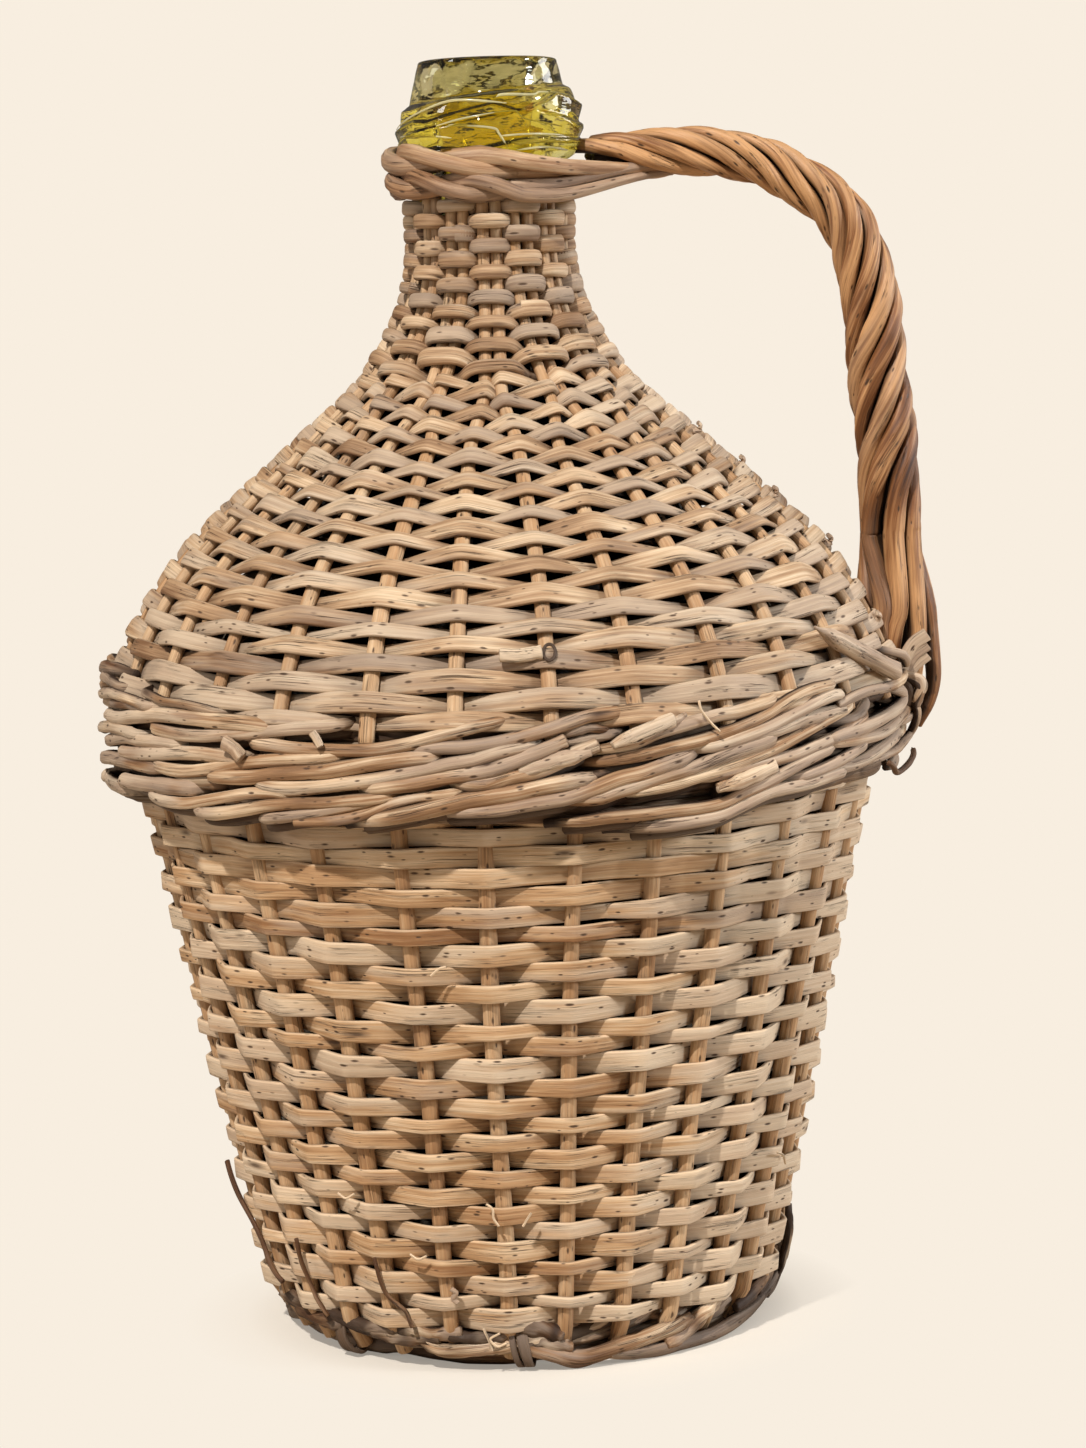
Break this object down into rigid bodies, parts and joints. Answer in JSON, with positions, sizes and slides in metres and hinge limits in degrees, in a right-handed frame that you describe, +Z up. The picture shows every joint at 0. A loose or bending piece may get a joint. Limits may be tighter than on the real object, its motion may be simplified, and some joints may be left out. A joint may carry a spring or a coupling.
{
  "type": "wicker demijohn bottle",
  "caption": "Blown glass demijohn in a tapered willow basket, woven over the shoulder and neck, with a roped belt, a collar and a roped side handle.",
  "frame": {"origin": "on the bottle's axis, on the surface that the foot rod stands on", "axes": "+Z up along the bottle's axis, +X towards the handle, and the pictured side faces -Y"},
  "size_m": [0.298, 0.292, 0.45],
  "materials": {
    "glass": "thick blown olive-green glass with seeds and trailed threads",
    "split_willow": "flat split willow, golden tan, weathered",
    "round_willow": "peeled willow rods, tan with grey weathering",
    "stakes": "willow stakes, tan, fine lengthwise grain",
    "rods": "thick willow rods, grey-brown, knotted",
    "handle_rods": "twisted willow rods, orange brown with dark cracks"
  },
  "bodies": {
    "root": {"glass_bottle": "glass", "base_sticks": "stakes", "base_weave": "round_willow", "foot_rod": "rods", "foot_wale": "rods", "foot_tie": "split_willow", "lower_stakes": "stakes", "lower_siding": "split_willow", "belt_lower_wale": "rods", "belt_middle_wale": "rods", "belt_upper_wale": "rods", "upper_stakes": "stakes", "shoulder_siding": "round_willow", "neck_siding": "round_willow", "collar_lower": "handle_rods", "collar_upper": "handle_rods", "handle_core": "handle_rods", "handle_rod_1": "handle_rods", "handle_rod_2": "handle_rods", "handle_rod_3": "handle_rods", "handle_rod_4": "handle_rods", "handle_rod_5": "handle_rods", "handle_rod_6": "handle_rods", "handle_tails": "handle_rods"}
  },
  "joints": []
}
